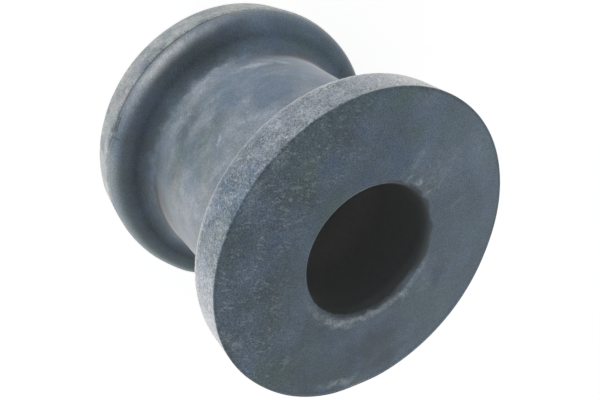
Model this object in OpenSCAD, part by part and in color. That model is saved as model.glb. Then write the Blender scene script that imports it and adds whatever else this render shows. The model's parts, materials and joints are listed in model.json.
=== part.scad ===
/* [Spool] */
// Height from the rear face to the front face
length = 28.2; // [24:0.2:40]
// Diameter of the waist between the flanges
waist_d = 24.6; // [20:0.2:27]
// Hollow rounding where each flange runs into the waist
fillet_r = 1.7; // [1:0.1:3]
// Break of the sharp outer edge of both end faces
edge_break = 0.2; // [0.1:0.05:0.5]

/* [Bore] */
// Diameter of the through bore
bore_d = 13.5; // [9:0.5:17]
// Rounding of the bore's lip at both faces
lip_r = 0.5; // [0.2:0.1:1.2]

/* [Front flange] */
// Diameter at the front face
front_d = 32; // [29:0.2:38]
// Diameter where the front shoulder starts
front_shoulder_d = 31.8; // [29:0.1:38]
// Height of the front rim, from face to shoulder
front_rim_h = 3.7; // [2:0.1:6]
// Rounding of the front flange's shoulder
front_shoulder_r = 1.5; // [0.8:0.1:2.5]

/* [Rear flange] */
// Diameter at the rear face
rear_d = 32.4; // [29:0.2:38]
// Diameter where the rear shoulder starts
rear_shoulder_d = 33; // [29:0.1:38]
// Height of the rear rim, from face to shoulder
rear_rim_h = 3.1; // [2:0.1:6]
// Rounding of the rear flange's shoulder
rear_shoulder_r = 2.4; // [0.8:0.1:2.5]

/* [Mould line] */
// Width of the line left where the mould's parts met
seam_w = 0.4; // [0.2:0.05:0.6]
// Height of the line's upper half above the start of the rear shoulder
seam_rise = 0.5; // [0.2:0.05:0.7]
// Step of the line between the mould's two halves
seam_step = 0.8; // [0.4:0.05:1]

/* [Hidden] */
$fn = 96;

bore_r = bore_d / 2;
waist_r = waist_d / 2;
lip_c = [bore_r + lip_r, lip_r];
// Most of a flank's depth that its shoulder may take, and the flat left between its two roundings
shoulder_share = 0.6;
flank_flat = 0.1;

// An end is [radius at its face, radius at its shoulder, height of its rim, rounding of its shoulder]
FRONT = [front_d / 2, front_shoulder_d / 2, front_rim_h, front_shoulder_r];
REAR = [rear_d / 2, rear_shoulder_d / 2, rear_rim_h, rear_shoulder_r];

// Radius of an end's rim at a height above its face
function rim_r(e, h) = e[0] + (e[1] - e[0]) * h / e[2];
// Depth of an end's flank, and the roundings of its shoulder and of its fillet that it has room for
function flank_depth(e) = e[1] - waist_r;
function shoulder(e) = min(e[3], shoulder_share * flank_depth(e));
function fillet(e) = min(fillet_r, flank_depth(e) - shoulder(e) - flank_flat);
// Height of an end's flank above its face
function flank_h(e) = e[2] + shoulder(e);

// Centres of an end's shoulder and of its fillet
function shoulder_c(e) = [e[1] - shoulder(e), e[2]];
function fillet_c(e) = [waist_r, flank_h(e)] + fillet(e) * [1, 1];
// Radius of an end's shoulder at a height above the shoulder's start
function shoulder_r(e, h) = shoulder_c(e).x + sqrt(pow(shoulder(e), 2) - pow(h, 2));

// Half section of one end from the bore to the waist, its face at height 0, before its corners are rounded
function end_outline(e) = [
    [bore_r, 0],
    [e[0] - edge_break, 0],
    [rim_r(e, edge_break), edge_break],
    [e[1], e[2]],
    [e[1], flank_h(e)],
    [fillet_c(e).x, flank_h(e)],
    fillet_c(e),
    [waist_r, fillet_c(e).y]
];

// What the rounding of a corner takes away, turned by quarter turns from the upper right
module corner(c, r, turns) {
    translate(c)
        difference() {
            rotate(90 * turns)
                square(2 * r);
            circle(r = r);
        }
}

// Roundings of an end: bore lip, shoulder and hollow fillet
module end_cuts(e) {
    corner(lip_c, lip_r, 2);
    corner(shoulder_c(e), shoulder(e), 0);
    translate(fillet_c(e))
        circle(r = fillet(e));
}

module half_section() {
    front_outline = end_outline(FRONT);
    difference() {
        polygon(concat(
            end_outline(REAR),
            [for (i = [len(front_outline) - 1:-1:0]) [front_outline[i].x, length - front_outline[i].y]]
        ));
        end_cuts(REAR);
        translate([0, length])
            mirror([0, 1])
                end_cuts(FRONT);
    }
}

// Line around one half of the rear flange, at a radius and a height
module seam_half(r, h) {
    rotate_extrude(angle = 180)
        translate([r, h])
            circle(d = seam_w);
}

// Mould line: a half turn low on the rim and one on the shoulder, with a short joining line at both ends
module mould_line() {
    high = rear_rim_h + seam_rise;
    low = high - seam_step;
    low_r = rim_r(REAR, low);
    seam_half(low_r, low);
    rotate([0, 0, 180])
        seam_half(shoulder_r(REAR, seam_rise), high);
    for (a = [0, 180])
        rotate([0, 0, a])
            translate([low_r, 0, low])
                cylinder(d = seam_w, h = seam_step);
}

module bushing() {
    color("slategray")
        difference() {
            rotate_extrude()
                half_section();
            mould_line();
        }
}

bushing();
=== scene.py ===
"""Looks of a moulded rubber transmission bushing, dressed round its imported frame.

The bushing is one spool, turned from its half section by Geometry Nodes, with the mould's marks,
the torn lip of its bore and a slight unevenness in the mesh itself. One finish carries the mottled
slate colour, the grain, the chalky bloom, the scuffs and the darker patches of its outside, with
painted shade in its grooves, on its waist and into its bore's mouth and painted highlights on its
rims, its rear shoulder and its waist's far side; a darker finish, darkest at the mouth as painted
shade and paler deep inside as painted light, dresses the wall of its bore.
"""

import json
import logging
import math
from dataclasses import dataclass, field, replace
from enum import Enum
from functools import reduce
from typing import TypeAlias

import bpy
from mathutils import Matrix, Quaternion, Vector


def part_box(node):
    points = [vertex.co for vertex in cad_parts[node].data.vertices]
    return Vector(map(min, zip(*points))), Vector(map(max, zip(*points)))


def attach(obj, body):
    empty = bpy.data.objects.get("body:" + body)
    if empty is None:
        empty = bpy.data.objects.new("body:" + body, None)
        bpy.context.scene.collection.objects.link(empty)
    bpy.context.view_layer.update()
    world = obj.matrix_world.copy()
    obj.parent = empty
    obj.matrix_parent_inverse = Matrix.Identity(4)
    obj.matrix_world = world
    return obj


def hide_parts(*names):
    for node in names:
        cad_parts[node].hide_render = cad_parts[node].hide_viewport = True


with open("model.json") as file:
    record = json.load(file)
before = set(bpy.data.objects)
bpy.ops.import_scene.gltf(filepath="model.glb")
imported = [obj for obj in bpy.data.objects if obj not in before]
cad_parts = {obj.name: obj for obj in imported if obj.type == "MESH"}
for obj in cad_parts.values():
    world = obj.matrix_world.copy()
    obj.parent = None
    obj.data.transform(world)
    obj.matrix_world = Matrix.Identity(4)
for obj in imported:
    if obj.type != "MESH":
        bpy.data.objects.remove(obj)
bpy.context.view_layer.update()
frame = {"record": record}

log = logging.getLogger("bushing")

MM = 0.001
NOISE_MEAN = 0.5

Point: TypeAlias = tuple[float, float]
Socket: TypeAlias = bpy.types.NodeSocket
Number: TypeAlias = "float | Field"
Layer: TypeAlias = "Tone | Field | Socket"


class Blend(Enum):
    """Ways in which one colour is laid over another."""

    COVER = "MIX"
    SHADE = "MULTIPLY"


@dataclass(frozen=True)
class Tone:
    """A colour as a screen shows it, from 0 to 255 in each channel."""

    red: int
    green: int
    blue: int

    def linear(self) -> tuple[float, float, float, float]:
        """Give the colour as the linear values that shaders take."""
        return (*(self._to_linear(c / 255) for c in (self.red, self.green, self.blue)), 1.0)

    @staticmethod
    def _to_linear(value: float) -> float:
        """Undo the screen's curve on one channel."""
        return value / 12.92 if value <= 0.04045 else ((value + 0.055) / 1.055) ** 2.4


@dataclass(frozen=True)
class Field:
    """A number that varies over a surface, held as one output of a node."""

    graph: "Graph"
    socket: Socket

    def __add__(self, other: Number) -> "Field":
        """Add a number or field."""
        return self.graph.math("ADD", self, other)

    def __sub__(self, other: Number) -> "Field":
        """Take a number or field away."""
        return self.graph.math("SUBTRACT", self, other)

    def __rsub__(self, other: float) -> "Field":
        """Take this field away from a number."""
        return self.graph.math("SUBTRACT", other, self)

    def __mul__(self, other: Number) -> "Field":
        """Multiply by a number or field."""
        return self.graph.math("MULTIPLY", self, other)

    __radd__ = __add__
    __rmul__ = __mul__

    def high(self, other: Number) -> "Field":
        """Take the larger of this field and another."""
        return self.graph.math("MAXIMUM", self, other)

    def rise(self, start: Number, end: Number) -> "Field":
        """Rise softly from 0 at start to 1 at end, or the other way round where start is larger."""
        node = self.graph.add("ShaderNodeMapRange", {"Value": self, "From Min": start, "From Max": end},
                              interpolation_type="SMOOTHSTEP")
        return Field(self.graph, node.outputs["Result"])

    def near(self, centre: Number, half: Number) -> "Field":
        """Peak softly: 1 at the centre, and 0 from half its width away."""
        return self.graph.math("ABSOLUTE", self - centre).rise(half, 0.0)


@dataclass(frozen=True)
class Rise:
    """A soft step from 0 at its start to 1 at its end, which may be the smaller of the two."""

    start: float
    end: float

    def on(self, value: Field) -> Field:
        """Judge a field by the step."""
        return value.rise(self.start, self.end)


@dataclass(frozen=True)
class Peak:
    """A soft peak of 1 at its centre, down to 0 at half its width."""

    centre: float
    half: float

    def on(self, value: Field) -> Field:
        """Judge a field by the peak."""
        return value.near(self.centre, self.half)


@dataclass(frozen=True)
class Level:
    """A level that a pattern moves: how far it moves it, and where it starts from."""

    swing: float
    base: float

    def on(self, pattern: Field) -> Field:
        """Move the level by a pattern."""
        return pattern * self.swing + self.base


@dataclass(frozen=True)
class Band:
    """A soft band: 0 up to its start, 1 from full to fade, and 0 again from its end."""

    start: float
    full: float
    fade: float
    end: float

    def on(self, value: Field) -> Field:
        """Judge a field by the band."""
        return value.rise(self.start, self.full) * value.rise(self.end, self.fade)


Span: TypeAlias = Rise | Peak | Band
Coat: TypeAlias = tuple[Number, Layer]


class Graph:
    """Adds nodes to one tree and links them, for shaders and geometry alike."""

    def __init__(self, tree: bpy.types.NodeTree) -> None:
        """Start from an empty tree."""
        self.tree = tree
        tree.nodes.clear()

    def add(self, kind: str, inputs: dict[str, object] | None = None, **settings: object) -> bpy.types.Node:
        """Add a node.

        Args:
            kind: Blender's name for the type of node.
            inputs: What each input takes, by the input's identifier: a field, a socket or a plain value.
            settings: The node's own settings.

        Returns:
            The new node.
        """
        node = self.tree.nodes.new(kind)
        for name, value in settings.items():
            setattr(node, name, value)
        wanted = inputs or {}
        for socket in node.inputs:
            if socket.identifier not in wanted:
                continue
            value = wanted[socket.identifier]
            if isinstance(value, Field):
                value = value.socket
            if isinstance(value, bpy.types.NodeSocket):
                self.tree.links.new(value, socket)
            else:
                socket.default_value = value
        return node

    def math(self, operation: str, first: Number, second: Number = 0.0) -> Field:
        """Work out one step of arithmetic, by Blender's name for it."""
        node = self.add("ShaderNodeMath", {"Value": first, "Value_001": second}, operation=operation)
        return Field(self, node.outputs["Value"])

    def stretch(self, vector: Socket, scale: tuple[float, float, float] | Field) -> Socket:
        """Scale a vector, by a number for each axis or by one field."""
        inputs = {"Vector": vector, "Vector_001": scale}
        return self.add("ShaderNodeVectorMath", inputs, operation="MULTIPLY").outputs["Vector"]

    def lay(self, base: Layer, coats: list[Coat], blend: Blend = Blend.COVER) -> Layer:
        """Lay coats of colour over a base, one after the other.

        Args:
            base: The colour below them all.
            coats: How much of each shows, from 0 to 1, and its colour.
            blend: The way that they are laid.

        Returns:
            The colour with the coats on it.
        """
        for share, coat in coats:
            below, above = (c.linear() if isinstance(c, Tone) else c for c in (base, coat))
            inputs = {"Factor_Float": share, "A_Color": below, "B_Color": above}
            node = self.add("ShaderNodeMix", inputs, data_type="RGBA", blend_type=blend.value)
            base = next(out for out in node.outputs if out.identifier == "Result_Color")
        return base


@dataclass(frozen=True)
class Places:
    """The coordinates that a pattern on the spool goes by, in millimetres and degrees."""

    graph: Graph
    point: Socket
    x: Field
    y: Field
    z: Field
    radius: Field
    azimuth: Field

    @classmethod
    def of(cls, graph: Graph, metres: Socket) -> "Places":
        """Work the coordinates out from a position.

        Args:
            graph: The tree to work in.
            metres: The position in metres.

        Returns:
            The coordinates.
        """
        point = graph.stretch(metres, (1 / MM, 1 / MM, 1 / MM))
        parts = graph.add("ShaderNodeSeparateXYZ", {"Vector": point}).outputs
        x, y, z = (Field(graph, parts[axis]) for axis in "XYZ")
        radius = graph.math("SQRT", x * x + y * y)
        azimuth = graph.math("ARCTAN2", y, x) * math.degrees(1)
        return cls(graph, point, x, y, z, radius, azimuth)

    def toward(self, azimuth: float) -> Field:
        """Measure how far points lie out from the axis towards an azimuth."""
        angle = math.radians(azimuth)
        return self.x * math.cos(angle) + self.y * math.sin(angle)

    def noise(self, size: float, seed: Number, detail: float = 2.0, rough: float = 0.5, warp: float = 0.0,
              scale: tuple[float, float, float] = (1.0, 1.0, 1.0), cut: Rise | None = None) -> Field:
        """Make cloudy noise.

        Args:
            size: Width of its largest features in millimetres.
            seed: Number that sets one pattern apart from another.
            detail: How many finer layers it has.
            rough: How strong the finer layers are.
            warp: How far the pattern is pulled about.
            scale: How much finer it is along each axis.
            cut: The soft cut that parts it into blotches, if it has one.

        Returns:
            The noise, before its cut about NOISE_MEAN on average.
        """
        place = self.graph.stretch(self.point, scale)
        inputs = {"Vector": place, "W": seed, "Scale": 1 / size, "Detail": detail, "Roughness": rough,
                  "Distortion": warp}
        node = self.graph.add("ShaderNodeTexNoise", inputs, noise_dimensions="4D")
        noise = Field(self.graph, node.outputs["Fac"])
        return cut.on(noise) if cut else noise

    def swing(self, size: float, seed: float, **how: float) -> Field:
        """Make cloudy noise that swings either side of 0."""
        return self.noise(size, seed, **how) - NOISE_MEAN


@dataclass(frozen=True)
class Patch:
    """A soft patch of the spool, by how strong it is and where it lies, in millimetres and degrees."""

    strength: float = 1.0
    x: Span | None = None
    y: Span | None = None
    z: Span | None = None
    radius: Span | None = None
    azimuth: Span | None = None

    def share(self, at: Places) -> Field:
        """Work out how much of the patch shows, up to its strength."""
        spans = ((self.x, at.x), (self.y, at.y), (self.z, at.z), (self.radius, at.radius),
                 (self.azimuth, at.azimuth))
        return math.prod((span.on(value) for span, value in spans if span), start=self.strength)


def total(patches: tuple[Patch, ...], at: Places) -> Field:
    """Add the shares of several patches up."""
    return sum((patch.share(at) for patch in patches), start=0.0)


@dataclass(frozen=True)
class End:
    """One flanged end of the spool, in millimetres."""

    face_radius: float
    shoulder_radius: float
    rim_height: float
    shoulder_round: float
    edge: float
    face_pitch: float
    rim_pitch: float
    shoulder_pitch: float

    @property
    def flank(self) -> float:
        """Give the height of the flank above the face."""
        return self.rim_height + self.shoulder_round


@dataclass(frozen=True)
class MouldMarks:
    """What the mould left on the rear flange, in millimetres."""

    line_low: float = 3.45
    line_high: float = 3.66
    line_width: float = 0.34
    line_depth: float = 0.14
    line_wander: float = 0.12
    line_soft: float = 0.1
    jog: Rise = Rise(1.1, -0.1)
    inset: float = 0.03
    split: Patch = Patch(y=Peak(-0.1, 0.16), z=Band(3.45, 3.66, 4.56, 4.86))
    split_depth: float = 0.07
    strip: Patch = Patch(y=Band(-2.5, -2.293, -0.907, -0.7), z=Band(3.453, 3.66, 4.073, 4.28))
    gap: Peak = Peak(-0.42, 0.3)
    band: Patch = Patch(radius=Rise(15.0, 15.6), z=Rise(5.4, 4.8))

    def line_height(self, at: Places) -> Field:
        """Find the height of the ring line, which steps where the mould's halves met."""
        wander = at.swing(size=3.0, seed=4.0) * self.line_wander
        return self.jog.on(at.y) * (self.line_high - self.line_low) + self.line_low + wander


@dataclass
class Spool:
    """The moulded rubber spool, in millimetres and degrees."""

    height: float
    bore: float
    waist: float
    widest: float
    lip: float = 0.5
    fillet: float = 1.7
    rear_face_inset: float = 0.3
    front_face_inset: float = 0.5
    front_shoulder_inset: float = 0.6
    segments: int = 480
    mouth_depth: float = 1.2
    mouth_pitch: float = 0.25
    lip_pitch: float = 0.09
    edge_pitch: float = 0.06
    flank_pitch: float = 0.4
    fillet_pitch: float = 0.3
    waist_pitch: float = 0.7
    wall_pitch: float = 1.6
    waviness: float = 0.04
    tear: float = 0.32
    tear_reach: Rise = Rise(1.2, 0.3)
    tear_drop: Rise = Rise(1.4, 0.4)
    throat: float = 0.2
    bulge: float = 0.34
    bulge_azimuth: float = 122.0
    bulge_reach: Rise = Rise(0.42, 1.0)
    bulge_drop: float = 1.0
    flat: float = 0.16
    flat_azimuth: float = 52.0
    flat_reach: Rise = Rise(0.9, 0.98)
    roughness: float = 0.12
    rough_reach: Rise = Rise(14.4, 15.2)
    rough_band: Peak = Peak(-0.6, 1.0)
    dent: Patch = Patch(0.08, azimuth=Peak(107.0, 13.0), radius=Rise(15.0, 15.9), z=Rise(27.2, 27.8))
    seed: float = 7.0
    marks: MouldMarks = field(default_factory=MouldMarks)

    @classmethod
    def from_frame(cls) -> "Spool":
        """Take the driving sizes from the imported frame.

        Returns:
            The spool.
        """
        low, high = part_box("bushing")
        mounts = {mount["name"]: mount for mount in frame["record"]["mounts"]}
        return cls(
            height=(high.z - low.z) / MM,
            bore=mounts["bore"]["dims"]["r_mm"],
            waist=mounts["waist"]["dims"]["r_mm"],
            widest=(high.x - low.x) / 2 / MM,
        )

    @property
    def rear(self) -> End:
        """Give the rear end, with a full shoulder."""
        return End(face_radius=self.widest - self.rear_face_inset, shoulder_radius=self.widest,
                   rim_height=3.1, shoulder_round=2.4, edge=0.2,
                   face_pitch=1.2, rim_pitch=0.12, shoulder_pitch=0.144)

    @property
    def front(self) -> End:
        """Give the front end, with a crisp edge and a small shoulder."""
        return End(face_radius=self.widest - self.front_face_inset,
                   shoulder_radius=self.widest - self.front_shoulder_inset,
                   rim_height=3.7, shoulder_round=1.5, edge=0.07,
                   face_pitch=0.4, rim_pitch=0.35, shoulder_pitch=0.2)

    def end_section(self, end: End) -> list[Point]:
        """Trace one end from the bore to the waist, with its face at height 0.

        Args:
            end: The end's sizes.

        Returns:
            Points of radius and height.
        """
        flank = end.flank
        shoulder = end.shoulder_radius - end.shoulder_round
        foot = self.waist + self.fillet
        return [
            *line((self.bore, self.lip + self.mouth_depth), (self.bore, self.lip), self.mouth_pitch),
            *arc((self.bore + self.lip, self.lip), self.lip, 180, 270, self.lip_pitch),
            *line((self.bore + self.lip, 0), (end.face_radius - end.edge, 0), end.face_pitch),
            *arc((end.face_radius - end.edge, end.edge), end.edge, 270, 360, self.edge_pitch),
            *line((end.face_radius, end.edge), (end.shoulder_radius, end.rim_height), end.rim_pitch),
            *arc((shoulder, end.rim_height), end.shoulder_round, 0, 90, end.shoulder_pitch),
            *line((shoulder, flank), (foot, flank), self.flank_pitch),
            *arc((foot, flank + self.fillet), self.fillet, 270, 180, self.fillet_pitch),
        ]

    def section(self) -> list[Point]:
        """Trace the closed half section, from the rear lip round to the bore's wall.

        Returns:
            Points of radius and height.
        """
        front_points = [(r, self.height - h) for r, h in self.end_section(self.front)]
        waist_low = (self.waist, self.rear.flank + self.fillet)
        waist_high = (self.waist, self.height - self.front.flank - self.fillet)
        wall_low = (self.bore, self.lip + self.mouth_depth)
        wall_high = (self.bore, self.height - self.lip - self.mouth_depth)
        return [
            *self.end_section(self.rear),
            *line(waist_low, waist_high, self.waist_pitch),
            waist_high,
            *reversed(front_points),
            *line(wall_high, wall_low, self.wall_pitch)[1:],
        ]

    def build(self, finish: bpy.types.Material, bore_finish: bpy.types.Material) -> bpy.types.Object:
        """Turn the section into the finished mesh.

        Args:
            finish: The spool's material.
            bore_finish: The material of the bore's wall.

        Returns:
            The spool, as a plain mesh at the origin.
        """
        guide = self.waist
        points = [((r - guide) * MM, -z * MM, 0.0) for r, z in reversed(self.section())]
        count = len(points)
        mesh = bpy.data.meshes.new("bushing_section")
        mesh.from_pydata(points, [(i, (i + 1) % count) for i in range(count)], [])
        piece = bpy.data.objects.new("rubber_spool", mesh)
        bpy.context.scene.collection.objects.link(piece)
        tree, sockets = self.turning_tree(finish, bore_finish)
        modifier = piece.modifiers.new("turn", "NODES")
        modifier.node_group = tree
        settings = {"Segments": self.segments, "Guide radius": guide * MM, "Seed": self.seed,
                    "Waviness": self.waviness, "Lip tear": self.tear}
        for name, value in settings.items():
            modifier[sockets[name]] = value
        make_plain(piece)
        return piece

    def turning_tree(self, finish: bpy.types.Material,
                     bore_finish: bpy.types.Material) -> tuple[bpy.types.NodeTree, dict[str, str]]:
        """Make the tree that turns the section round the axis and works the mould's marks into it.

        Args:
            finish: The spool's material.
            bore_finish: The material of the bore's wall.

        Returns:
            The tree, and the identifier of each named input.
        """
        tree = bpy.data.node_groups.new("turned spool", "GeometryNodeTree")
        kinds = {"Section": "NodeSocketGeometry", "Segments": "NodeSocketInt"}
        kinds |= dict.fromkeys(("Guide radius", "Seed", "Waviness", "Lip tear"), "NodeSocketFloat")
        sockets = {name: tree.interface.new_socket(name, in_out="INPUT", socket_type=kind).identifier
                   for name, kind in kinds.items()}
        result = tree.interface.new_socket("Spool", in_out="OUTPUT", socket_type="NodeSocketGeometry")
        graph = Graph(tree)
        given = graph.add("NodeGroupInput").outputs
        profile = graph.add("GeometryNodeMeshToCurve", {"Mesh": given["Section"]}).outputs["Curve"]
        circle = {"Resolution": given["Segments"], "Radius": given["Guide radius"]}
        path = graph.add("GeometryNodeCurvePrimitiveCircle", circle).outputs["Curve"]
        sweep = {"Curve": path, "Profile Curve": profile}
        turned = graph.add("GeometryNodeCurveToMesh", sweep).outputs["Mesh"]
        smooth = graph.add("GeometryNodeSetShadeSmooth", {"Geometry": turned}).outputs["Geometry"]
        position = graph.add("GeometryNodeInputPosition").outputs["Position"]
        at = Places.of(graph, position)
        normal = graph.add("GeometryNodeInputNormal").outputs["Normal"]
        inward = graph.stretch(normal, self.mark_depth(at, given) * -MM)
        outward = graph.stretch(graph.stretch(position, (1.0, 1.0, 0.0)), self.swell(at))
        both = {"Vector": inward, "Vector_001": outward}
        move = {"Geometry": smooth, "Offset": graph.add("ShaderNodeVectorMath", both).outputs["Vector"]}
        marked = graph.add("GeometryNodeSetPosition", move).outputs["Geometry"]
        real = graph.add("GeometryNodeRealizeInstances", {"Geometry": marked}).outputs["Geometry"]
        cover = {"Geometry": real, "Material": finish}
        skin = graph.add("GeometryNodeSetMaterial", cover).outputs["Geometry"]
        reach = {"A": at.radius, "B": self.bore + self.throat}
        in_bore = graph.add("FunctionNodeCompare", reach, operation="LESS_THAN").outputs["Result"]
        wall = {"Geometry": skin, "Selection": in_bore, "Material": bore_finish}
        dressed = graph.add("GeometryNodeSetMaterial", wall).outputs["Geometry"]
        graph.add("NodeGroupOutput", {result.identifier: dressed})
        return tree, sockets

    def mark_depth(self, at: Places, given: bpy.types.bpy_prop_collection) -> Field:
        """Work out how far each point of the spool lies below its true form.

        Args:
            at: Coordinates on the spool.
            given: The tree's named inputs.

        Returns:
            The depth in millimetres.
        """
        marks = self.marks
        seed, waviness, tear = (Field(at.graph, given[name]) for name in ("Seed", "Waviness", "Lip tear"))
        waves = at.noise(size=7.0, seed=seed) * waviness
        height = marks.line_height(at)
        ring = at.z.near(height, marks.line_width) * marks.line_depth
        below = at.z.rise(height + marks.line_soft, height - marks.line_soft) * marks.inset
        split = marks.split.share(at) * marks.split_depth
        strip = marks.strip.share(at) * at.noise(size=0.4, seed=seed + 1.0) * marks.line_depth
        on_lip = self.tear_reach.on(at.radius - self.bore) * self.tear_drop.on(self.height - at.z)
        torn = at.noise(size=0.7, seed=seed + 3.0) * tear * worn_side(at) * on_lip
        above_shoulder = at.z - (self.height - self.front.rim_height)
        on_shoulder = self.rough_reach.on(at.radius) * self.rough_band.on(above_shoulder)
        rough = at.noise(size=0.6, seed=seed + 5.0) * on_shoulder * self.roughness
        moulded = (ring + below + split + strip) * marks.band.share(at)
        return waves + self.dent.share(at) + rough + moulded + torn

    def swell(self, at: Places) -> Field:
        """Work out how far the front flange bulges and the rear one is flattened.

        Args:
            at: Coordinates on the spool.

        Returns:
            The swell as a share of the radius.
        """
        middle = self.height / 2
        on_front = at.z.rise(middle, self.height - self.bulge_drop)
        on_front = on_front * at.radius.rise(self.waist, self.front.face_radius)
        on_rear = at.z.rise(middle, self.rear.flank) * at.radius.rise(self.waist, self.rear.face_radius)
        bulge = turned_to(at, self.bulge_azimuth, self.bulge_reach) * on_front * self.bulge
        flat = turned_to(at, self.flat_azimuth, self.flat_reach) * on_rear * self.flat
        return (bulge - flat) * (1 / self.front.face_radius)


def turned_to(at: Places, azimuth: float, reach: Rise) -> Field:
    """Mark the side that is turned to an azimuth, by a soft step in shares of the radius."""
    return at.toward(azimuth).rise(at.radius * reach.start, at.radius * reach.end)


def worn_side(at: Places) -> Field:
    """Mark the side of the bore whose lip is worn, from 0 across to 1."""
    return at.toward(110.0).rise(2.0, 6.0)


def line(start: Point, end: Point, pitch: float) -> list[Point]:
    """Step along a straight stretch.

    Args:
        start: Its first point.
        end: Its last point, which is left to the next stretch.
        pitch: About how far apart the points lie.

    Returns:
        The points.
    """
    steps = max(1, math.ceil(math.dist(start, end) / pitch))
    return [(start[0] + (end[0] - start[0]) * i / steps, start[1] + (end[1] - start[1]) * i / steps)
            for i in range(steps)]


def arc(centre: Point, radius: float, start: float, end: float, pitch: float) -> list[Point]:
    """Step along a round stretch.

    Args:
        centre: The middle of its circle.
        radius: The circle's radius.
        start: Angle of its first point in degrees.
        end: Angle of its last point, which is left to the next stretch.
        pitch: About how far apart the points lie.

    Returns:
        The points.
    """
    sweep = math.radians(end - start)
    steps = max(2, math.ceil(abs(sweep) * radius / pitch))
    angles = [math.radians(start) + sweep * i / steps for i in range(steps)]
    return [(centre[0] + radius * math.cos(a), centre[1] + radius * math.sin(a)) for a in angles]


def make_plain(piece: bpy.types.Object) -> None:
    """Replace a piece's mesh by what its modifiers make of it, and remove them.

    Args:
        piece: The piece to change.
    """
    graph = bpy.context.evaluated_depsgraph_get()
    mesh = bpy.data.meshes.new_from_object(piece.evaluated_get(graph), depsgraph=graph)
    piece.modifiers.clear()
    piece.data = mesh
    mesh.name = piece.name


# How far the ragged edges of the waist, the lip and the throat stray, in millimetres
RAGGED_WAIST = 1.2
RAGGED_LIP = 0.7
RAGGED_THROAT = 1.3

# The worn place in the bore's mouth, lighter partly as a painted highlight, and how much less painted shade
# the throat has there
WORN_MOUTH = Peak(150, 18)
WORN_THROAT = Patch(0.7, azimuth=WORN_MOUTH)

# The side of the front face that has the most flecks
FLECKED_SIDE = Patch(x=Rise(1, 11), radius=Rise(7, 11))


@dataclass(frozen=True)
class Zones:
    """The spool, its coordinates and its regions, each as a share of 1 inside and 0 outside."""

    at: Places
    spool: Spool
    ring_height: Field
    face: Field
    flecked: Field
    crowded: Field
    front_rim: Field
    rear_rim: Field
    shoulder: Field
    ridge: Field
    flank: Field
    groove: Field
    foot: Field
    waist: Field
    lip: Field
    throat: Field

    @classmethod
    def of(cls, at: Places, spool: Spool) -> "Zones":
        """Mark the regions out, each by soft edges in millimetres from the part that it lies at.

        Args:
            at: Coordinates on the spool.
            spool: The spool's sizes.

        Returns:
            The regions.
        """
        ring_height = spool.marks.line_height(at)
        below_top = spool.height - at.z
        above_ring = at.z - ring_height
        above_rear = at.z - spool.rear.flank
        above_front = at.z - (spool.height - spool.front.flank)
        from_bore = at.radius - spool.bore
        unrest = at.swing(size=1.1, seed=9.0, detail=3.0, rough=0.6)
        ragged = above_rear + unrest * RAGGED_WAIST
        face = below_top.rise(0.14, 0.05)
        flecked = face * FLECKED_SIDE.share(at)
        outside = (at.radius - spool.front.face_radius).rise(-1.2, -0.5)
        waist = ragged.rise(0.5, 1.2) * above_front.rise(0.0, -0.8)
        rear_groove = above_rear.rise(-1.15, -0.3) * ragged.rise(1.3, 0.15)
        front_groove = Band(-1.5, -0.5, 0.1, 1.0).on(above_front)
        # The throat takes painted shade going into the bore's mouth
        throat = (from_bore + unrest * RAGGED_THROAT).rise(0.6, 0.3)
        return cls(
            at=at,
            spool=spool,
            ring_height=ring_height,
            face=face,
            flecked=flecked,
            crowded=flecked * at.noise(size=1.4, seed=27.0, cut=Rise(0.34, 0.6)),
            front_rim=outside * above_front.rise(0.1, 0.7) * (1.0 - face),
            rear_rim=outside * above_ring.rise(0.1, -0.1),
            shoulder=outside * above_ring.rise(-0.1, 0.1) * above_rear.rise(-0.4, -1.5),
            ridge=above_rear.near(-1.06, 0.82),
            flank=Band(-2.0, -0.5, 0.3, 1.2).on(above_rear),
            groove=rear_groove.high(front_groove),
            foot=above_rear.rise(5.0, 1.2) * waist,
            waist=waist,
            lip=(from_bore + unrest * RAGGED_LIP).near(0.86, 0.52) * below_top.rise(1.0, 0.3),
            throat=throat * at.x.rise(6.0, 0.0) * (1.0 - WORN_THROAT.share(at)),
        )


# The spool's far half, and how far round it the patches on it start
FAR_HALF = Rise(-4, -10)
FAR_SIDE = Patch(x=Rise(9, 0), y=FAR_HALF)
BEYOND = Patch(x=Rise(8.5, 4), y=FAR_HALF)
LIMB = Patch(x=Rise(4.5, 1), y=FAR_HALF)

# How much less painted shade the grooves behind the flanges get on some sides
LESS_GROOVE_SHADE = (
    Patch(0.22, y=Rise(2, 7)),
    Patch(0.14, azimuth=Peak(-25, 10)),
    replace(BEYOND, strength=0.56),
)
# Painted shade on the foot of the waist
FOOT_SHADE = Patch(0.3, y=Rise(-3, 2))

# Painted highlights towards the ends of both rims that show, and painted light and shade that lighten or
# darken the front and the rear rim in places
RIM_END_HIGHLIGHTS = (
    Patch(0.56, y=Rise(0, 6)),
    Patch(0.16, y=Rise(-7, -11)),
    replace(FAR_SIDE, strength=0.6),
)
FRONT_RIM_LIGHT_AND_SHADE = (Patch(0.1, azimuth=Peak(0, 9)), Patch(-0.12, azimuth=Peak(-15, 13)))
REAR_RIM_LIGHT_AND_SHADE = (Patch(0.25, z=Rise(1.2, 0.2)), Patch(-0.1, azimuth=Peak(-8, 12)))
# Painted white highlights on the front rim: along its back edge, broken up like wear, and towards both ends
# of what shows of it
BACK_EDGE = Peak(-0.55, 0.75)
BACK_EDGE_HIGHLIGHTS = (Patch(0.9, y=Rise(-11, -14)), Patch(0.8, y=Rise(-4, 4)))
RIM_TIP_HIGHLIGHTS = (Patch(0.5, x=Rise(4, -1), y=FAR_HALF), Patch(0.35, y=Rise(5, 9.5)))
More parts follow.
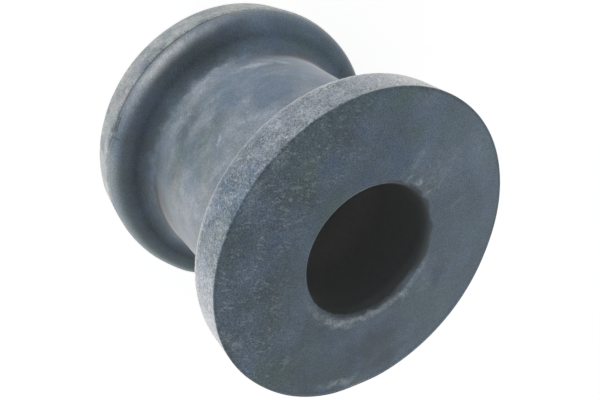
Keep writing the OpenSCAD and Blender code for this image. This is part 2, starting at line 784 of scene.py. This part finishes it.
# Painted highlights on two sides of the rear shoulder and on the ridge that it ends in, laid in the chalk's
# tone
SHOULDER_HIGHLIGHTS = (Patch(0.35, y=Rise(-0.5, 3)), Patch(0.2, y=Rise(-12.5, -15)))
RIDGE_HIGHLIGHT = Patch(azimuth=Peak(-33, 37))
# Chalk on the waist and its foot, and the side of the foot that is bare of it
WAIST_CHALK = (
    Patch(0.16, y=Rise(-10.5, -7.5), z=Rise(11, 20)),
    Patch(0.06, z=Rise(11, 20)),
    Patch(0.12, y=Rise(0, 4), z=Rise(8, 15)),
    Patch(0.05, azimuth=Peak(-28, 16), z=Rise(8, 12)),
    Patch(-0.22, azimuth=Peak(-55, 16), z=Peak(15.5, 5)),
)
FOOT_CHALK = Patch(0.25, azimuth=Peak(-36, 30))
BARE_FOOT = Patch(0.75, y=Rise(-6, 2))
# Painted cool light on the far side of the waist, along its far limb, and on the far side of the rear flank
FAR_WAIST_LIGHT = (Patch(0.14, y=Rise(-5, -10)), replace(LIMB, strength=0.16))
FAR_FLANK_LIGHT = replace(BEYOND, strength=0.05)
# Haze over one side of the front face
FACE_HAZE = (
    Patch(0.22, x=Rise(4, -14)),
    Patch(0.06, x=Rise(9, 3), y=Rise(-8, -13)),
    Patch(0.1, x=Rise(1, -4), y=Rise(-8, -13)),
)
# Warm dust on the waist
WAIST_DUST = Patch(0.35, azimuth=Peak(12, 26), z=Rise(8, 13))

# Painted shade on the waist, over the bloom: on its far fillet, along the limb of its foot and on one patch
FAR_FILLET = Peak(1.4, 1.6)
DIM_FILLET = (replace(BEYOND, strength=0.34), replace(LIMB, strength=0.45))
DIM_WAIST = Patch(0.22, azimuth=Peak(3, 16), z=Peak(11, 3))
DIM_FOOT = Patch(0.7, y=Rise(2, 5))
DIM_FOOT_START = Rise(0.4, 1.4)
DIM_FOOT_SLANT = Level(0.45, 6.0)
DIM_FOOT_SOFT = 2.0

# Where the mould's lines hold dirt, and where the ring line holds less of it
DIRTY_BAND = Patch(radius=Rise(15, 15.6), z=Rise(5.3, 4.9))
CLEAN_RING = (Patch(0.4, y=Rise(-0.1, 2.1)), replace(FAR_SIDE, strength=0.6))
# The dark line along the face's edge, out from the edge of the face
FACE_EDGE_LINE = Peak(-0.2, 0.2)


@dataclass(frozen=True)
class Scuff:
    """A soft oval place for scuffs, darker patches and painted highlights, in millimetres along and across
    the surface and degrees.
    """

    along: float
    across: float
    length: float
    width: float
    turn: float
    strength: float

    def share(self, along: Field, across: Field) -> Field:
        """Work out how much of the scuff shows.

        Args:
            along: The surface's first coordinate.
            across: The surface's second coordinate.

        Returns:
            The share, before it is broken up by grain.
        """
        cos = math.cos(math.radians(self.turn))
        sin = math.sin(math.radians(self.turn))
        u = along - self.along
        v = across - self.across
        lengthways = (u * cos + v * sin).near(0.0, self.length)
        return lengthways * (v * cos - u * sin).near(0.0, self.width) * self.strength


# On the front face, by x and y
FACE_SCUFFS = (
    Scuff(-2.8, -7.3, 0.9, 0.8, 60, 0.9),
    Scuff(-1.2, -7.9, 0.9, 0.5, 20, 0.5),
    Scuff(-1.8, -9.4, 2.2, 1.1, 54, 0.32),
    Scuff(-4.5, -6.3, 0.9, 0.6, 45, 0.7),
    Scuff(-5.6, -7.4, 2.6, 0.5, 48, 0.35),
    Scuff(-4.6, -8.2, 5.5, 3.4, 50, 0.26),
    Scuff(-8.7, 3.6, 1.6, 1, 60, 0.18),
    Scuff(-8.9, -5.3, 1.8, 1, 50, 0.22),
    Scuff(-6.4, 4.6, 1.2, 0.7, 125, 0.6),
    Scuff(0.9, 7.7, 3.2, 0.8, -8, 0.7),
    Scuff(5.6, 11.9, 1.2, 0.35, 65, 0.35),
    Scuff(-2, 14.95, 3.4, 0.7, 11, 0.6),
    Scuff(14.3, -5.3, 2.6, 0.8, 70, 0.35),
    Scuff(13, -8, 1.6, 0.9, 60, 0.35),
    Scuff(11.6, 9.3, 1.4, 1, 130, 0.45),
    Scuff(13.1, 8.2, 1.6, 0.5, 122, 0.35),
    Scuff(0, -15.2, 3, 1.2, 0, 0.22),
    Scuff(-9.4, -10.6, 5, 2.4, 132, 0.16),
)
# Darker patches on the front face, by x and y
FACE_DARK_PATCHES = (
    Scuff(8.6, -4.6, 3.4, 2.2, -30, 0.3),
    Scuff(3.5, 11.5, 5, 3, 20, 0.1),
    Scuff(-4.6, 10.4, 6, 3.4, 41, 0.42),
    Scuff(-7, 12.3, 5, 1.8, 34, 0.42),
    Scuff(-9.9, 2.4, 2.6, 1.6, 70, 0.3),
    Scuff(12.2, 0.4, 2.4, 1.6, 70, 0.14),
    Scuff(11, -6, 3, 2, 60, 0.1),
    Scuff(14.6, -1, 2.2, 1.6, 90, 0.18),
    Scuff(7.4, -12.2, 3.2, 1.8, 30, 0.28),
)
# On the waist, by the distance round from the mould's split and the height: scuffs, and two painted
# highlights as light arcs along the far limb
WAIST_SCUFFS_AND_ARCS = (
    Scuff(-5.2, 15.7, 1, 0.5, 60, 0.7),
    Scuff(-9.4, 17.8, 4.6, 1, -40, 0.45),
    Scuff(1.2, 14.5, 4.5, 3, 90, 0.3),
    Scuff(-8, 10.3, 3, 0.8, -12, 0.35),
    # These two are painted highlights: light arcs along the waist's far limb
    Scuff(-13.4, 8.7, 3.4, 0.8, -12, 0.95),
    Scuff(-16.6, 9.3, 2.6, 0.8, -40, 0.85),
    Scuff(-4.8, 8.2, 2.8, 1.6, 0, 0.3),
)


def strongest(scuffs: tuple[Scuff, ...], along: Field, across: Field) -> Field:
    """Take the strongest of several scuffs at each point."""
    return reduce(Field.high, (scuff.share(along, across) for scuff in scuffs))


@dataclass(frozen=True)
class Grains:
    """How strongly grains of one size show on the parts of the spool."""

    everywhere: float
    face: float
    flecked: float
    rims: float

    def on(self, face: Field, flecked: Field, rims: Field) -> Field:
        """Work out their strength from the shares of those parts."""
        return flecked * self.flecked + face * self.face + rims * self.rims + self.everywhere


@dataclass(frozen=True)
class RubberFinish:
    """Matt moulded rubber, slate grey, with a chalky bloom, painted shade and painted highlights."""

    deep: Tone = Tone(75, 90, 99)
    light: Tone = Tone(93, 111, 129)
    teal: Tone = Tone(80, 101, 102)
    blue: Tone = Tone(82, 100, 124)
    haze: Tone = Tone(138, 158, 178)
    # chalk_and_highlight is the chalk bloom's tone, also used for painted highlights on the ridge, the
    # shoulder and the rims' ends
    chalk_and_highlight: Tone = Tone(181, 185, 190)
    pale: Tone = Tone(178, 187, 184)
    # white is the painted highlight along the front rim's back edge and at its tips
    white: Tone = Tone(224, 226, 227)
    # rubbed_and_lit lightens the bore's lip: partly wear, partly a painted highlight on its rounding
    rubbed_and_lit: Tone = Tone(166, 172, 175)
    # cool_light is painted light on the far side of the waist and of the rear flank
    cool_light: Tone = Tone(150, 172, 200)
    scuffed_and_lit: Tone = Tone(172, 184, 194)
    dust: Tone = Tone(186, 178, 178)
    # soot_and_shade darkens the mould's dirty lines, the face's darker patches and its edge line, and is
    # the painted shade in the grooves, on the foot and on the waist
    soot_and_shade: Tone = Tone(34, 38, 42)
    # throat is the painted shade going into the bore's mouth, on the face by the lip
    throat: Tone = Tone(60, 69, 73)
    roughness: Level = Level(0.3, 0.6)
    sheen: float = 0.9
    sheen_roughness: float = 0.35
    bump_strength: float = 0.5
    grain_depth: float = 0.05
    teal_share: float = 0.8
    blue_share: float = 0.7
    # groove_shade is the painted shade in the grooves behind the flanges
    groove_shade: float = 0.6
    groove_blots: Level = Level(0.4, 0.8)
    front_rim_chalk: Level = Level(0.26, 0.05)
    rear_rim_chalk: Level = Level(0.42, 0.14)
    # rear_rim_end_highlights scales the painted highlights at the rear rim's ends
    rear_rim_end_highlights: float = 0.6
    rear_rim_dust: float = 0.42
    # ridge_highlight is the painted highlight along the rear shoulder's ridge, broken up in blotches
    ridge_highlight: Level = Level(0.35, 0.6)
    # edge_highlight_breakup breaks up the painted highlight along the front rim's back edge
    edge_highlight_breakup: Level = Level(0.7, 0.3)
    wisps: float = 0.3
    flakes: float = 0.18
    flecks: float = 0.3
    fine_grains: Grains = Grains(everywhere=1.2, face=0.3, flecked=1.0, rims=1.6)
    rear_grains: float = 0.5
    clump_grains: Grains = Grains(everywhere=0.2, face=0.25, flecked=0.6, rims=1.1)
    sway: float = 2.4
    worn_lip: Level = Level(0.44, 0.26)
    sound_lip: float = 0.03
    ring_dirt: float = 0.85
    ring_dirt_width: float = 0.7
    gap_clean: float = 0.8
    strip_dirt: float = 0.95
    split_dirt: float = 0.6
    # edge_darkening is how dark the line along the face's edge is
    edge_darkening: float = 0.4

    def material(self, spool: Spool) -> bpy.types.Material:
        """Build the material.

        Args:
            spool: The spool that it dresses.

        Returns:
            The material.
        """
        made = bpy.data.materials.new("moulded_rubber")
        made.use_nodes = True
        graph = Graph(made.node_tree)
        at = Places.of(graph, graph.add("ShaderNodeTexCoord").outputs["Object"])
        zones = Zones.of(at, spool)
        grain = at.noise(size=0.15, seed=21.0, detail=1.0)
        colour = self.deep
        for step in (self.mottle, self.bloom, self.dim, self.scuffs):
            colour = graph.lay(colour, step(zones))
        colour = graph.lay(colour, [(1.0, self.grains(zones, grain))], Blend.SHADE)
        colour = graph.lay(colour, self.dark_places(zones))
        bump = graph.add("ShaderNodeBump", {
            "Height": grain + at.noise(size=0.5, seed=22.0),
            "Strength": self.bump_strength,
            "Distance": self.grain_depth * MM,
        })
        shader = graph.add("ShaderNodeBsdfPrincipled", {
            "Base Color": colour,
            "Roughness": self.roughness.on(at.noise(size=2.5, seed=24.0)),
            "Normal": bump.outputs["Normal"],
            "Sheen Weight": self.sheen,
            "Sheen Roughness": self.sheen_roughness,
        })
        graph.add("ShaderNodeOutputMaterial", {"Surface": shader.outputs["BSDF"]})
        return made

    def mottle(self, zones: Zones) -> list[Coat]:
        """Cloud the slate colour with teal and blue, and paint shade into the grooves and onto the foot of
        the waist.

        Args:
            zones: The spool's regions.

        Returns:
            The coats, from the lowest.
        """
        at = zones.at
        cloud = at.noise(size=4.0, seed=11.0, detail=3.0, cut=Rise(0.3, 0.7))
        teal = at.noise(size=5.0, seed=12.0, cut=Rise(0.5, 0.66))
        blue = at.noise(size=2.6, seed=14.0, cut=Rise(0.52, 0.68))
        blots = self.groove_blots.on(at.noise(size=1.4, seed=25.0, detail=3.0, rough=0.6))
        # Painted shade in the grooves behind the flanges, lighter on some sides and broken up in blots
        groove = zones.groove * (self.groove_shade - total(LESS_GROOVE_SHADE, at)) * blots
        return [
            (cloud, self.light),
            (teal * self.teal_share, self.teal),
            (blue * self.blue_share, self.blue),
            # Painted shade in the grooves and on the foot of the waist
            (groove.high(zones.foot * FOOT_SHADE.share(at)), self.soot_and_shade),
        ]

    def bloom(self, zones: Zones) -> list[Coat]:
        """Lay the bloom, with painted light on it: a haze on the face, painted cool light on the far side,
        chalk on the rims and the waist, and painted highlights on the rims' ends, the front rim's back
        edge, the rear shoulder and its ridge.

        Args:
            zones: The spool's regions.

        Returns:
            The coats, from the lowest.
        """
        at = zones.at
        spool = zones.spool
        patchy = at.noise(size=1.2, seed=15.0, detail=3.0, rough=0.6, cut=Rise(0.3, 0.7))
        blotchy = at.noise(size=1.6, seed=28.0, detail=3.0, rough=0.6, cut=Rise(0.38, 0.62))
        worn = at.noise(size=0.9, seed=29.0, detail=3.0, rough=0.65, cut=Rise(0.36, 0.64))
        dusty = at.noise(size=2.0, seed=16.0, detail=3.0, cut=Rise(0.38, 0.64))
        wisps = at.noise(size=2.6, seed=13.0, detail=4.0, rough=0.6, warp=0.35, scale=(0.75, 0.75, 1.1),
                         cut=Rise(0.38, 0.74))
        flakes = at.noise(size=0.7, seed=19.0, detail=3.0, rough=0.6, warp=0.5, cut=Rise(0.52, 0.74))
        waist = wisps * self.wisps + flakes * self.flakes + total(WAIST_CHALK, at)
        waist = waist + zones.foot * FOOT_CHALK.share(at)
        waist = zones.waist * waist * (1.0 - zones.foot * BARE_FOOT.share(at))
        # Painted highlights towards the ends of the rims that show
        end_highlights = total(RIM_END_HIGHLIGHTS, at)
        # Chalk on the rims, with painted highlights at their ends and painted light and shade in places
        front_rim = self.front_rim_chalk.on(patchy) + end_highlights + total(FRONT_RIM_LIGHT_AND_SHADE, at)
        rear_rim = self.rear_rim_chalk.on(blotchy) + end_highlights * self.rear_rim_end_highlights + total(REAR_RIM_LIGHT_AND_SHADE, at)
        # Painted highlights along the rear shoulder's ridge and on two sides of the shoulder
        ridge = zones.ridge * RIDGE_HIGHLIGHT.share(at) * self.ridge_highlight.on(blotchy)
        shoulder = zones.shoulder * total(SHOULDER_HIGHLIGHTS, at)
        # Painted highlight along the front rim's back edge, broken up like wear
        back_edge = BACK_EDGE.on(at.z - (spool.height - spool.front.rim_height))
        back_edge = back_edge * self.edge_highlight_breakup.on(worn) * total(BACK_EDGE_HIGHLIGHTS, at)
        dust = zones.rear_rim * self.rear_rim_dust + zones.waist * WAIST_DUST.share(at)
        return [
            (zones.face * total(FACE_HAZE, at), self.haze),
            # Painted cool light on the far side of the waist and of the rear flank
            (zones.waist * total(FAR_WAIST_LIGHT, at) + zones.flank * FAR_FLANK_LIGHT.share(at), self.cool_light),
            # Chalk on the front rim and the waist, with painted highlights on the front rim's ends, the
            # shoulder and the ridge
            (zones.front_rim * front_rim + ridge + shoulder + waist, self.chalk_and_highlight),
            # Painted white highlights on the front rim's back edge and tips
            (zones.front_rim * back_edge.high(total(RIM_TIP_HIGHLIGHTS, at)), self.white),
            # Chalk on the rear rim, with painted highlights at its ends and along its rear edge
            (zones.rear_rim * rear_rim, self.pale),
            (dusty * dust, self.dust),
        ]

    def dim(self, zones: Zones) -> list[Coat]:
        """Paint shade over the bloom on the far fillet of the waist, along the limb of its foot and on one
        patch of the waist.

        Args:
            zones: The spool's regions.

        Returns:
            The one coat.
        """
        at = zones.at
        above_rear = at.z - zones.spool.rear.flank
        # Painted shade on the far fillet, along the limb of the foot and on one patch of the waist
        fillet = FAR_FILLET.on(above_rear) * total(DIM_FILLET, at)
        reach = DIM_FOOT_SLANT.on(at.y)
        below_slant = at.z.rise(reach + DIM_FOOT_SOFT, reach)
        foot = DIM_FOOT.share(at) * DIM_FOOT_START.on(above_rear) * below_slant
        return [(fillet.high(foot).high(DIM_WAIST.share(at)), self.soot_and_shade)]

    def scuffs(self, zones: Zones) -> list[Coat]:
        """Darken patches of the face, scuff the face and the waist, paint light arcs along the waist's far
        limb, lighten the bore's lip with wear and a painted highlight, and fleck the front end.

        Args:
            zones: The spool's regions.

        Returns:
            The coats, from the lowest.
        """
        at = zones.at
        sway = at.swing(size=1.5, seed=31.0) * self.sway
        bitten = at.noise(size=1.6, seed=33.0, cut=Rise(0.3, 0.62))
        broken = at.noise(size=0.5, seed=32.0, detail=3.0, rough=0.7, cut=Rise(0.25, 0.65))
        flecks = at.noise(size=0.22, seed=23.0, detail=1.0, scale=(0.45, 1.0, 1.0), cut=Rise(0.52, 0.7))
        x = at.x + sway
        y = at.y - sway
        round_waist = at.azimuth * math.radians(zones.spool.waist) + sway
        on_face = strongest(FACE_SCUFFS, x, y) * zones.face
        on_waist = strongest(WAIST_SCUFFS_AND_ARCS, round_waist, at.z - sway) * zones.waist
        # The lip's light ring: wear on the worn side, partly a painted highlight on the lip's rounding
        lip = zones.lip * (worn_side(at) * self.worn_lip.on(bitten) + self.sound_lip)
        return [
            (strongest(FACE_DARK_PATCHES, x, y) * zones.face, self.soot_and_shade),
            (lip * broken, self.rubbed_and_lit),
            # Scuffs, and painted highlights as light arcs along the waist's far limb
            (on_face.high(on_waist) * broken, self.scuffed_and_lit),
            (flecks * (zones.crowded + zones.front_rim) * self.flecks, self.chalk_and_highlight),
        ]

    def grains(self, zones: Zones, grain: Field) -> Field:
        """Work out the light and dark grains that break the colour up.

        Args:
            zones: The spool's regions.
            grain: The fine grain.

        Returns:
            What the colour is multiplied by, about 1 on average.
        """
        at = zones.at
        rims = zones.front_rim + zones.rear_rim * self.rear_grains
        fine = (grain - NOISE_MEAN) * self.fine_grains.on(zones.face, zones.flecked, rims)
        clumps = at.swing(size=0.5, seed=26.0, rough=0.6)
        return fine + clumps * self.clump_grains.on(zones.face, zones.crowded, rims) + 1.0

    def dark_places(self, zones: Zones) -> list[Coat]:
        """Darken the mould's lines with dirt and the face's edge with a dark line, and paint shade going
        into the bore's mouth.

        Args:
            zones: The spool's regions.

        Returns:
            The coats, from the lowest.
        """
        at = zones.at
        marks = zones.spool.marks
        shreds = at.noise(size=0.24, seed=17.0, detail=3.0, cut=Rise(0.3, 0.6))
        crumbs = at.noise(size=0.3, seed=18.0, cut=Rise(0.3, 0.6))
        ring = at.z.near(zones.ring_height, marks.line_width * self.ring_dirt_width)
        ring = ring * (self.ring_dirt - total(CLEAN_RING, at)) * (1.0 - marks.gap.on(at.y) * self.gap_clean)
        torn = marks.strip.share(at) * shreds * self.strip_dirt
        split = marks.split.share(at) * self.split_dirt
        dirt = ring.high(torn).high(split) * DIRTY_BAND.share(at)
        past_edge = at.radius - zones.spool.front.face_radius
        # A dark line along the face's edge
        edge = FACE_EDGE_LINE.on(past_edge) * zones.face * crumbs * self.edge_darkening
        # Dirt in the mould's lines and the face's dark edge line, then painted shade going into the bore's
        # mouth
        return [(dirt.high(edge), self.soot_and_shade), (zones.throat, self.throat)]


@dataclass(frozen=True)
class BoreFinish:
    """Dark rubber of the bore's wall, darkest at the mouth as painted shade and paler deep inside as
    painted light.
    """

    mouth: Tone = Tone(69, 73, 74)
    # rubbed_and_lit lightens the worn mouth: partly wear, partly a painted highlight on its rounding
    rubbed_and_lit: Tone = Tone(104, 112, 117)
    depths: Tone = Tone(138, 138, 138)
    heart: Tone = Tone(168, 168, 168)
    entry: Rise = Rise(0.6, 2.6)
    entry_share: float = 0.22
    deeper: Rise = Rise(2.0, 12.0)
    deeper_share: float = 0.78
    heart_reach: Rise = Rise(7.0, 0.5)
    worn_drop: Rise = Rise(0.7, 0.2)
    grains: Level = Level(0.3, 0.85)
    roughness: Level = Level(0.2, 0.75)
    gloss: float = 0.2
    bump_strength: float = 0.4
    grain_depth: float = 0.04

    def material(self, spool: Spool) -> bpy.types.Material:
        """Build the material.

        Args:
            spool: The spool that it dresses.

        Returns:
            The material.
        """
        made = bpy.data.materials.new("bore_rubber")
        made.use_nodes = True
        graph = Graph(made.node_tree)
        at = Places.of(graph, graph.add("ShaderNodeTexCoord").outputs["Object"])
        grain = at.noise(size=0.4, seed=41.0)
        middle = spool.height / 2
        from_middle = graph.math("ABSOLUTE", at.z - middle)
        depth = middle - from_middle
        # Painted light: paler deeper in and at the bore's heart, where its shade would be darkest
        inside = self.entry.on(depth) * self.entry_share + self.deeper.on(depth) * self.deeper_share
        worn = WORN_MOUTH.on(at.azimuth) * self.worn_drop.on(spool.height - at.z)
        heart = self.heart_reach.on(from_middle)
        colour = graph.lay(self.mouth, [(inside, self.depths), (heart, self.heart), (worn, self.rubbed_and_lit)])
        colour = graph.lay(colour, [(1.0, self.grains.on(grain))], Blend.SHADE)
        bump = graph.add("ShaderNodeBump", {
            "Height": grain,
            "Strength": self.bump_strength,
            "Distance": self.grain_depth * MM,
        })
        shader = graph.add("ShaderNodeBsdfPrincipled", {
            "Base Color": colour,
            "Roughness": self.roughness.on(grain),
            "Specular IOR Level": self.gloss,
            "Normal": bump.outputs["Normal"],
        })
        graph.add("ShaderNodeOutputMaterial", {"Surface": shader.outputs["BSDF"]})
        return made


# The rays that show the background: straight ones, and those off gloss or through glass
SEEN_RAYS = ("Is Camera Ray", "Is Glossy Ray", "Is Transmission Ray")


def seen_rays(graph: Graph) -> Field:
    """Tell the rays that show the background, by 1 on them and 0 on others."""
    rays = graph.add("ShaderNodeLightPath").outputs
    return reduce(Field.high, (Field(graph, rays[name]) for name in SEEN_RAYS))


@dataclass(frozen=True)
class Lamp:
    """A soft lamp that stands on the floor and faces the bushing, in millimetres and degrees."""

    name: str
    azimuth: float
    away: float
    width: float
    height: float
    watts: float

    def build(self, aim_height: float) -> None:
        """Set the lamp up.

        Args:
            aim_height: Height of the point that it faces.
        """
        data = bpy.data.lights.new(self.name, "AREA")
        data.shape = "RECTANGLE"
        data.energy = self.watts
        data.size = self.width * MM
        data.size_y = self.height * MM
        lamp = bpy.data.objects.new(self.name, data)
        bpy.context.scene.collection.objects.link(lamp)
        angle = math.radians(self.azimuth)
        place = Vector((self.away * math.cos(angle), self.away * math.sin(angle), self.height / 2))
        lamp.location = place * MM
        lamp.rotation_mode = "QUATERNION"
        lamp.rotation_quaternion = (Vector((0, 0, aim_height)) - place).to_track_quat("-Z", "Y")


@dataclass(frozen=True)
class Studio:
    """Pale floor, white surround, soft lamps and the camera, in millimetres."""

    floor_size: float = 3000.0
    floor_tone: tuple[float, float, float, float] = (0.85, 0.85, 0.85, 1.0)
    white: tuple[float, float, float, float] = (1.0, 1.0, 1.0, 1.0)
    eye: tuple[float, float, float] = (46.431, -24.901, 73.528)
    aim: tuple[float, float, float] = (0.285, 0.378, 16.306)
    roll: float = -129.665
    lens: float = 45.0
    near: float = 1.0
    ambient: float = 0.5
    floor_shown: float = 0.6
    floor_glow: float = 0.74
    lamps: tuple[Lamp, ...] = (
        Lamp("key", azimuth=-40, away=300, width=260, height=70, watts=0.4),
        Lamp("fill", azimuth=50, away=300, width=260, height=70, watts=0.35),
    )

    def build(self) -> None:
        """Set up the floor, the surround, the lamps and the camera."""
        bpy.context.scene.view_settings.view_transform = "Standard"
        self.floor()
        self.surround()
        for lamp in self.lamps:
            lamp.build(self.aim[2])
        self.camera()

    def floor(self) -> None:
        """Lay the white floor, which keeps a faint shadow of the bushing."""
        half = self.floor_size / 2 * MM
        corners = [(-half, -half, 0), (half, -half, 0), (half, half, 0), (-half, half, 0)]
        mesh = bpy.data.meshes.new("floor")
        mesh.from_pydata(corners, [], [(0, 1, 2, 3)])
        floor = bpy.data.objects.new("floor", mesh)
        bpy.context.scene.collection.objects.link(floor)
        paper = bpy.data.materials.new("white_paper")
        paper.use_nodes = True
        graph = Graph(paper.node_tree)
        seen = seen_rays(graph)
        lit = graph.add("ShaderNodeBsdfDiffuse", {"Color": self.floor_tone}).outputs["BSDF"]
        shown = graph.add("ShaderNodeMixShader", {"Fac": seen * (1.0 - self.floor_shown), "Shader": lit})
        glow = graph.add("ShaderNodeEmission", {"Color": self.white, "Strength": seen * self.floor_glow})
        both = {"Shader": shown.outputs["Shader"], "Shader_001": glow.outputs["Emission"]}
        paper_shown = graph.add("ShaderNodeAddShader", both).outputs["Shader"]
        graph.add("ShaderNodeOutputMaterial", {"Surface": paper_shown})
        mesh.materials.append(paper)

    def surround(self) -> None:
        """Make the world white to the eye and softer as a light."""
        world = bpy.data.worlds.new("white_surround")
        world.use_nodes = True
        bpy.context.scene.world = world
        graph = Graph(world.node_tree)
        strength = seen_rays(graph) * (1.0 - self.ambient) + self.ambient
        light = graph.add("ShaderNodeBackground", {"Color": self.white, "Strength": strength})
        graph.add("ShaderNodeOutputWorld", {"Surface": light.outputs["Background"]})

    def camera(self) -> None:
        """Place the camera where the photograph was taken from."""
        data = bpy.data.cameras.new("camera")
        data.lens = self.lens
        data.clip_start = self.near * MM
        camera = bpy.data.objects.new("camera", data)
        bpy.context.scene.collection.objects.link(camera)
        eye = Vector(self.eye)
        sight = (Vector(self.aim) - eye).normalized()
        camera.location = eye * MM
        camera.rotation_mode = "QUATERNION"
        turn = Quaternion(sight, math.radians(self.roll))
        camera.rotation_quaternion = turn @ sight.to_track_quat("-Z", "Y")
        bpy.context.scene.camera = camera


def main() -> None:
    """Build the studio and the bushing, and report each piece."""
    logging.basicConfig(level=logging.INFO, format="%(name)s: %(message)s")
    Studio().build()
    spool = Spool.from_frame()
    piece = spool.build(RubberFinish().material(spool), BoreFinish().material(spool))
    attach(piece, "root")
    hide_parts("bushing")
    log.info("%s: %d faces", piece.name, len(piece.data.polygons))


if __name__ == "__main__":
    main()
